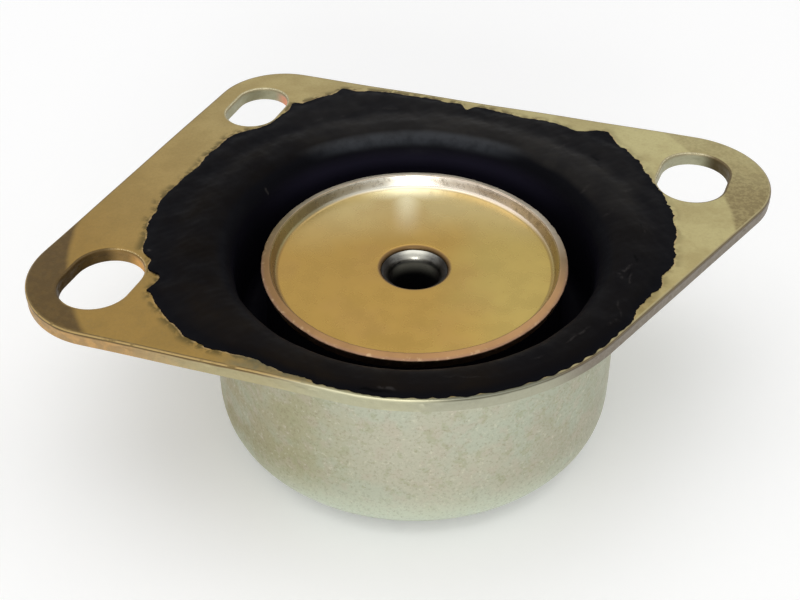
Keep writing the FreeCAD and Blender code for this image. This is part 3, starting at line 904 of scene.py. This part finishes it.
def rubberMaterial():
    f = rubberFinish
    m = Finish("mouldedRubber", f)
    x, y, z = m.axes()
    away = m.distance(0, 0)
    behind = m.along(viewTurn + 90)
    patch = m.noise(2.6, 4, 0.6)
    fine = m.noise(0.45, 3, 0.6)
    # dust on the upper face only, most of it at the back, where its paler tint is dust and painted sheen
    dust = m.times(m.ramp(z, 33.9, 34.7, 0, 0.95), m.ramp(m.noise(9, 3, 0.6), 0.35, 0.65, 0.5, 1))
    dust = m.times(dust, m.ramp(patch, 0.3, 0.6, 0.75, 1.0))
    powder = m.over(f["dustWarm"], (x, "dust", -25, 5), (y, "dustFront", -18, -32), (y, "dustBack", 12, 32))
    # the trough is painted lighter behind, as painted light
    trough = m.over(f["deep"], (behind, "deepBack", 12, 26))
    # painted blue-grey sheen on the roll at the back, where the coat also makes it glossier than the rest
    onRoll = m.times(m.ramp(away, 29.9, 30.7), m.ramp(away, 33.2, 31.6), m.ramp(behind, 24, 29.5))
    bloom = m.times(onRoll, m.ramp(patch, 0.3, 0.6, 0.6, 1))
    m.give("Coat Weight", m.times(bloom, f["rollSheenCoat"]))
    m.give("Coat Roughness", f["coatRoughness"])
    # scuffs follow the strokes' tone, above 0 pale and broken up, below 0 dark
    tone = m.mark()
    broken = m.ramp(m.noise(0.8, 3, 0.6), 0.38, 0.56, 0.15, 1)
    scuff = m.times(m.ramp(tone, 0.1, 1.0, 0, 0.85, False), broken)
    base = m.over(f["black"], (z, trough, 33.4, 30.5), (dust, powder), (m.times(bloom, 0.85), "bloom"))
    m.give("Base Color", m.over(base, (scuff, "pale"), (tone, "dark", -0.1, -0.7, 0, 0.9)))
    m.give("Specular IOR Level", f["specular"])
    m.give("Roughness", m.ramp(patch, 0.3, 0.7, f["roughness"] - 0.08, f["roughness"] + 0.1))
    calm = m.ramp(x, -25, 12, 0.3, 1.0)
    m.bump(m.times(patch, calm), m.times(fine, calm))
    return m.material


closed = {"wrapRows": True, "wrapColumns": True}
cup = meshPiece("cupAndFlange", *cupGrids())
seat(cup, "flanged_cup", cupMaterial())
dish = meshPiece("topDishPressing", [(dishGrid(), closed)], sharp=50)
seat(dish, "top_dish", dishMaterial())
sleeve = meshPiece("boltSleeve", [(sleeveGrid(), closed)])
seat(sleeve, "inner_sleeve", sleeveMaterial())
rubberSurface, rubberMark = rubberGrid()
rubber = meshPiece("rubberSpring", [(rubberSurface, closed)], [rubberMark], sharp=70)
seat(rubber, "rubber_body", rubberMaterial())
print("pieces made")


stageForm = {
    "floorSize": 6.0, "paper": (246, 246, 246), "paperPale": (250, 250, 250),
    "worldLevel": 0.5, "paperGlow": 0.16,
}


def directRays(tree):
    # 1 for what the camera, metal and glass see, 0 for light on its way to a dull surface
    path = tree.nodes.new("ShaderNodeLightPath")
    total = path.outputs["Is Camera Ray"]
    for ray in ("Is Glossy Ray", "Is Transmission Ray"):
        larger = tree.nodes.new("ShaderNodeMath")
        larger.operation = "MAXIMUM"
        tree.links.new(total, larger.inputs[0])
        tree.links.new(path.outputs[ray], larger.inputs[1])
        total = larger.outputs[0]
    return total


def paperFloor():
    # Pale paper, whiter to the camera and in the metal than the light alone makes it; it keeps the shadow
    f = stageForm
    half = f["floorSize"] / 2
    corners = [(-half, -half, 0), (half, -half, 0), (half, half, 0), (-half, half, 0)]
    mesh = bpy.data.meshes.new("paperFloor")
    mesh.from_pydata(corners, [], [(0, 1, 2, 3)])
    floor = bpy.data.objects.new("paperFloor", mesh)
    bpy.context.scene.collection.objects.link(floor)
    m = Finish("paper", f)
    m.give("Base Color", m.over(f["paper"], (m.noise(400, 1), "paperPale")))
    m.give("Roughness", 0.9)
    m.give("Specular IOR Level", 0.2)
    m.give("Emission Color", (255, 255, 255))
    m.give("Emission Strength", m.times(directRays(m.tree), f["paperGlow"]))
    mesh.materials.append(m.material)


def studioWorld():
    # Soft even light; what the camera, metal and glass see of it is plain white
    world = bpy.data.worlds.new("studio")
    world.use_nodes = True
    bpy.context.scene.world = world
    tree = world.node_tree
    light, white = tree.nodes["Background"], tree.nodes.new("ShaderNodeBackground")
    for sky, strength in ((light, stageForm["worldLevel"]), (white, 1.0)):
        sky.inputs["Color"].default_value = (1, 1, 1, 1)
        sky.inputs["Strength"].default_value = strength
    mix = tree.nodes.new("ShaderNodeMixShader")
    for i, source in enumerate((directRays(tree), light.outputs[0], white.outputs[0])):
        tree.links.new(source, mix.inputs[i])
    tree.links.new(mix.outputs[0], tree.nodes["World Output"].inputs["Surface"])


lamps = {
    "overhead": {"at": (-0.1, 0.15, 1.2), "aim": (0, 0, 0.03), "size": 1.4, "power": 6.6},
    "front": {"at": (0.33, -0.85, 0.24), "aim": (0, 0, 0.02), "size": 0.35, "power": 2.8},
}


def studioLamps():
    for name, lamp in lamps.items():
        data = bpy.data.lights.new(name, "AREA")
        data.shape = "SQUARE"
        data.size = lamp["size"]
        data.energy = lamp["power"]
        made = bpy.data.objects.new(name, data)
        made.location = lamp["at"]
        made.rotation_euler = (Vector(lamp["aim"]) - Vector(lamp["at"])).to_track_quat("-Z", "Y").to_euler()
        bpy.context.scene.collection.objects.link(made)


# millimetres and radians
view = {"lens": 60.75, "distance": 219.9, "rise": 0.6456, "pan": -0.0135, "dip": 0.6765, "roll": -0.0024,
        "lookHeight": 30.6}


def photoCamera():
    # Camera on a sphere about the dish's middle, turned about the bolt axis, with a small pan, dip and roll
    v = view
    level, above = v["distance"] * math.cos(v["rise"]), v["distance"] * math.sin(v["rise"])
    spot = Vector((0, -level, above + v["lookHeight"])) * milli
    turns = ((-v["pan"], "Z"), (math.pi / 2 - v["dip"], "X"), (v["roll"], "Z"))
    place = Matrix.Rotation(math.radians(viewTurn), 4, "Z") @ Matrix.Translation(spot)
    for angle, axis in turns:
        place = place @ Matrix.Rotation(angle, 4, axis)
    data = bpy.data.cameras.new("photoView")
    data.lens = v["lens"]
    data.sensor_width = 36
    data.clip_start = 0.005
    made = bpy.data.objects.new("photoView", data)
    made.matrix_world = place
    bpy.context.scene.collection.objects.link(made)
    bpy.context.scene.camera = made


paperFloor()
studioWorld()
studioLamps()
photoCamera()
bpy.context.scene.view_settings.view_transform = "Standard"
print("stage, light and view set")
